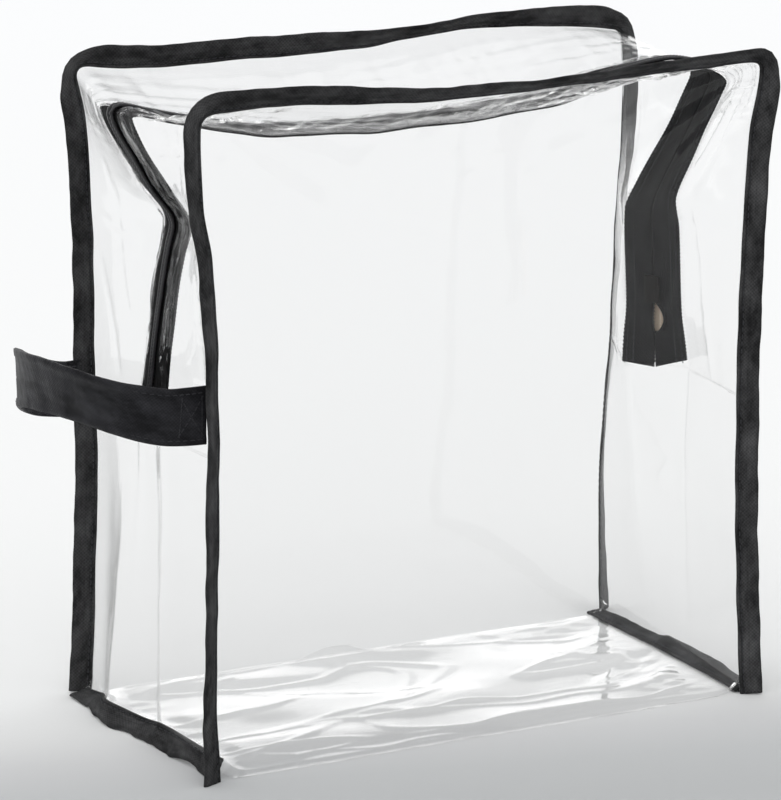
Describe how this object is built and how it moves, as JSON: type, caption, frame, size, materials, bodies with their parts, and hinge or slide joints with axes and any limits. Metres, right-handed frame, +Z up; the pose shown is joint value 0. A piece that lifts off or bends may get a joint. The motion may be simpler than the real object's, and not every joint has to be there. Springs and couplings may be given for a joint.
{
  "type": "clear toiletry bag",
  "caption": "Box-shaped bag of clear soft film with fabric-bound seams, a zipper round its sides and top, a front flap that folds open and a strap handle on one side.",
  "frame": {"origin": "middle of the base, on the surface that the bag stands on", "axes": "+X to the right seen from the front, +Y to the back, +Z up; the strap handle is on the -X side"},
  "size_m": [0.3548, 0.144, 0.303],
  "materials": {
    "clear_film": "clear soft film, glossy, lightly rippled and creased",
    "binding_tape": "charcoal woven binding tape, folded over the seam and stitched",
    "zipper_tape": "black woven zipper tape",
    "zipper_coil": "black moulded coil",
    "stop_metal": "dark bronze crimped metal",
    "slider_metal": "light bronze plated die-cast metal, satin",
    "handle_fabric": "black woven strap with folded and stitched edges"
  },
  "bodies": {
    "bag": {"back_panel": "clear_film", "lower_front_panel": "clear_film", "base_panel": "clear_film", "left_gusset": "clear_film", "right_gusset": "clear_film", "rear_strip": "clear_film", "left_strip_end": "clear_film", "right_strip_end": "clear_film", "back_binding": "binding_tape", "left_front_binding": "binding_tape", "right_front_binding": "binding_tape", "left_base_binding": "binding_tape", "right_base_binding": "binding_tape", "rear_tape": "zipper_tape", "rear_coil": "zipper_coil", "left_tape_end": "zipper_tape", "right_tape_end": "zipper_tape", "left_coil_end": "zipper_coil", "right_coil_end": "zipper_coil", "left_end_stop": "stop_metal", "right_end_stop": "stop_metal", "handle_front_tab": "handle_fabric", "handle_back_tab": "handle_fabric"},
    "front_flap": {"flap_panel": "clear_film", "flap_strip": "clear_film", "flap_binding": "binding_tape", "flap_tape": "zipper_tape", "flap_coil": "zipper_coil"},
    "slider": {"slider": "slider_metal"},
    "puller": {"puller": "slider_metal"},
    "handle": {"handle_strap": "handle_fabric"}
  },
  "joints": [
    {"name": "flap_fold", "type": "hinge", "parent": "bag", "child": "front_flap", "pos_m": [0, -0.06441, 0.184], "axis": [1, 0, 0], "range_deg": [0, 60]},
    {"name": "slider_travel", "type": "slide", "parent": "bag", "child": "slider", "axis": [-0.058, 0, 0.9983], "range_m": [0, 0.028]},
    {"name": "puller_swing", "type": "hinge", "parent": "slider", "child": "puller", "pos_m": [0.13103, 0.00194, 0.18187], "axis": [0.3734, -0.9274, 0.0217], "range_deg": [0, 120]},
    {"name": "handle_swing", "type": "hinge", "parent": "bag", "child": "handle", "pos_m": [-0.15168, 0, 0.1555], "axis": [0, 1, 0], "range_deg": [-40, 40]}
  ]
}
